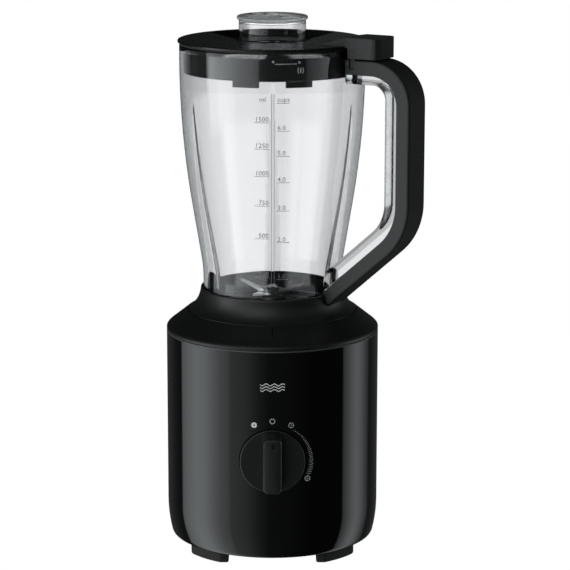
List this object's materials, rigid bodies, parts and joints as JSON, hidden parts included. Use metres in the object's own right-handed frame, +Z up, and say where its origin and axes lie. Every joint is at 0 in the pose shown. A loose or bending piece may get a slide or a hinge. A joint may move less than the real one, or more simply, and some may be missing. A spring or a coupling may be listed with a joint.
{
  "type": "countertop blender",
  "caption": "Countertop blender: round motor base with speed knob, clear jug with handle, blade unit, lid and measuring cap that lift off.",
  "frame": {"origin": "middle of the bounding box's underside, on the surface that the feet rest on", "axes": "+Z up, -Y the front with the knob, +X the right, towards the handle; the motor axis is upright at x -15.6 mm, y +6.5 mm"},
  "size_m": [0.1909, 0.177, 0.4028],
  "materials": {
    "gloss_shell": "high-gloss black moulded plastic",
    "satin_cover": "satin black moulded plastic",
    "knob_satin": "satin black moulded plastic",
    "lid_plastic": "black plastic, satin on top and glossy on the skirt",
    "rubber_feet": "matt dark grey rubber",
    "seal_rubber": "soft black rubber",
    "clear_plastic": "clear water-white moulded plastic",
    "blade_steel": "ground stainless steel",
    "fastener_steel": "plated steel",
    "bracket_metal": "cast aluminium",
    "lamination_steel": "stacked steel sheets",
    "copper_winding": "lacquered copper",
    "brass_fitting": "sintered bronze and brass",
    "carbon": "pressed carbon",
    "nylon": "natural nylon",
    "board": "circuit board with components"
  },
  "bodies": {
    "base": {"base_housing": "gloss_shell", "top_cover": "satin_cover", "bottom_plate": "satin_cover", "cord_gland": "satin_cover", "foot_front_left": "rubber_feet", "foot_front_right": "rubber_feet", "foot_back_right": "rubber_feet", "foot_back_left": "rubber_feet", "motor_stator": "lamination_steel", "field_coil_back": "copper_winding", "field_coil_front": "copper_winding", "upper_bracket": "bracket_metal", "lower_bracket": "bracket_metal", "upper_bearing": "brass_fitting", "lower_bearing": "brass_fitting", "brush_holder_back": "brass_fitting", "brush_holder_front": "brass_fitting", "carbon_brush_back": "carbon", "carbon_brush_front": "carbon", "control_board": "board", "speed_switch": "nylon", "interlock_switch": "nylon", "bottom_screw_1": "fastener_steel", "bottom_screw_2": "fastener_steel", "bottom_screw_3": "fastener_steel", "bottom_screw_4": "fastener_steel", "hanger_screw_left": "fastener_steel", "hanger_screw_right": "fastener_steel", "motor_screw_left": "fastener_steel", "motor_screw_right": "fastener_steel"},
    "rotor": {"motor_shaft": "fastener_steel", "armature_core": "lamination_steel", "armature_windings": "copper_winding", "commutator": "copper_winding", "cooling_fan": "nylon", "drive_coupling": "nylon"},
    "knob": {"control_knob": "knob_satin", "knob_shaft": "fastener_steel"},
    "ring": {"interlock_ring": "nylon"},
    "jug": {"jug": "clear_plastic", "handle_grip": "satin_cover", "jug_collar": "satin_cover", "blade_housing": "lid_plastic", "jug_seal": "seal_rubber", "shaft_seal": "seal_rubber", "lower_bush": "brass_fitting", "upper_bush": "brass_fitting"},
    "blades": {"blade_shaft": "blade_steel", "blade_spacer": "blade_steel", "lower_blade": "blade_steel", "upper_blade": "blade_steel", "cap_nut": "blade_steel", "driven_coupling": "nylon"},
    "lid": {"lid": "lid_plastic", "lid_seal": "seal_rubber"},
    "cap": {"filler_cap": "clear_plastic"}
  },
  "joints": [
    {"name": "knob_turn", "type": "hinge", "parent": "base", "child": "knob", "pos_m": [-0.01556, -0.0735, 0.0837], "axis": [0, 1, 0], "range_deg": [-26, 116]},
    {"name": "motor_spin", "type": "hinge", "parent": "base", "child": "rotor", "pos_m": [-0.01556, 0.0065, 0.085], "axis": [0, 0, 1], "continuous": true},
    {"name": "jug_twist", "type": "hinge", "parent": "base", "child": "ring", "pos_m": [-0.01556, 0.0065, 0.165], "axis": [0, 0, 1], "range_deg": [0, 30]},
    {"name": "jug_lift", "type": "slide", "parent": "ring", "child": "jug", "axis": [0, 0, 1], "range_m": [0, 0.12]},
    {"name": "blade_spin", "type": "hinge", "parent": "jug", "child": "blades", "pos_m": [-0.01556, 0.0065, 0.19], "axis": [0, 0, 1], "continuous": true},
    {"name": "lid_lift", "type": "slide", "parent": "jug", "child": "lid", "axis": [0, 0, 1], "range_m": [0, 0.08]},
    {"name": "cap_lift", "type": "slide", "parent": "lid", "child": "cap", "axis": [0, 0, 1], "range_m": [0, 0.06]}
  ],
  "couplings": [
    {"joint": "blade_spin", "follows": "motor_spin", "ratio": 1}
  ]
}
